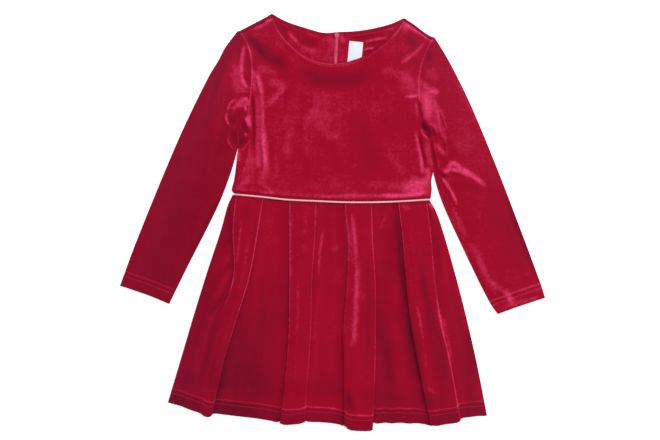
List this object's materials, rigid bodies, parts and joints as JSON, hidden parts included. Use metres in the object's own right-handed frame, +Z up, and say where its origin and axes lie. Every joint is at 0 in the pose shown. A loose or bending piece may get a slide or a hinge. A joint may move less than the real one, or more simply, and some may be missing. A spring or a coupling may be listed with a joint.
{
  "type": "toddler party dress",
  "caption": "Long-sleeved stretch velvet dress laid flat, with a scoop neck, a box-pleated skirt and metallic piping in the waist seam.",
  "frame": {"origin": "on the table, under the middle of the dress's bounding box", "axes": "+Z up from the table, +X to the right across the dress as seen from above with its front up, +Y from the hem towards the neck"},
  "size_m": [0.593, 0.5824, 0.0082],
  "materials": {
    "velvet": "crimson stretch velvet with a short pile",
    "piping": "pale cream-gold metallic bias piping",
    "zip": "pink nylon coil and lacquered slider",
    "label": "white woven satin, bare"
  },
  "bodies": {
    "root": {"bodice_front": "velvet", "bodice_back_left": "velvet", "bodice_back_right": "velvet", "sleeve_left": "velvet", "sleeve_right": "velvet", "skirt_front": "velvet", "skirt_back": "velvet", "waist_piping_front": "piping", "waist_piping_back": "piping", "back_zip": "zip", "zip_slider": "zip", "neck_label": "label"}
  },
  "joints": []
}
